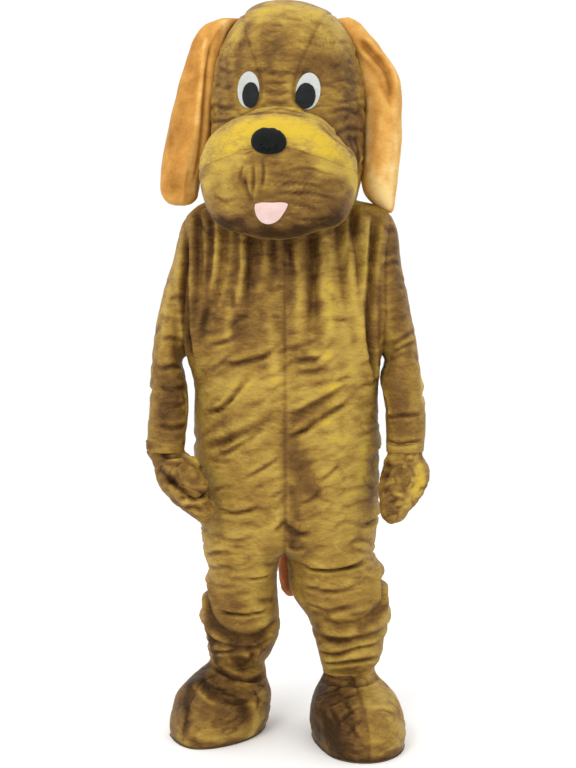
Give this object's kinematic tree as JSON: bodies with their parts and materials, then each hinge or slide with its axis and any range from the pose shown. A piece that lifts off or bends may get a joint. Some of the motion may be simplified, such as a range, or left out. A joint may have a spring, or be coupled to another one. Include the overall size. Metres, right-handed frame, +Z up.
{
  "type": "dog mascot costume",
  "caption": "baggy plush dog mascot costume with a big hollow head, hanging ears, mitten gloves, booties and a tail, standing as worn with nobody in it",
  "frame": {"origin": "the middle of the suit's shoulder line, where the wearer's shoulders hold the costume up, 1.262 m above the floor", "axes": "+Z up; the dog looks along -Y; +X is the right-hand side for somebody who faces the dog; node names use left for -X and right for +X"},
  "size_m": [0.694, 0.6324, 1.7979],
  "materials": {
    "plush": "crushed short-pile plush, gold where the nap faces the light and brown where it leans away",
    "plush_yoke": "the same plush, nap combed down, bright gold",
    "ear_plush": "short plush, orange fading to cream at the tips",
    "tail_plush": "short plush, reddish orange",
    "white_felt": "matt felt",
    "black_felt": "matt felt",
    "pink_felt": "matt felt",
    "zip_tape": "woven polyester tape"
  },
  "bodies": {
    "root": {"suit_front_left": "plush", "suit_front_right": "plush", "suit_back_left": "plush", "suit_back_right": "plush", "sleeve_left": "plush", "sleeve_right": "plush", "back_zip_tape": "zip_tape", "tail": "tail_plush", "glove_left": "plush", "glove_left_thumb": "plush", "glove_right": "plush", "glove_right_thumb": "plush", "bootie_left_outer": "plush", "bootie_left_inner": "plush", "bootie_left_sole": "plush", "bootie_right_outer": "plush", "bootie_right_inner": "plush", "bootie_right_sole": "plush", "head_crown": "plush", "head_side_left": "plush", "head_side_right": "plush", "muzzle_upper": "plush_yoke", "muzzle_lower": "plush", "ear_left": "ear_plush", "ear_right": "ear_plush", "eye_white_left": "white_felt", "pupil_left": "black_felt", "eye_white_right": "white_felt", "pupil_right": "black_felt", "nose": "black_felt", "tongue": "pink_felt"}
  },
  "joints": []
}
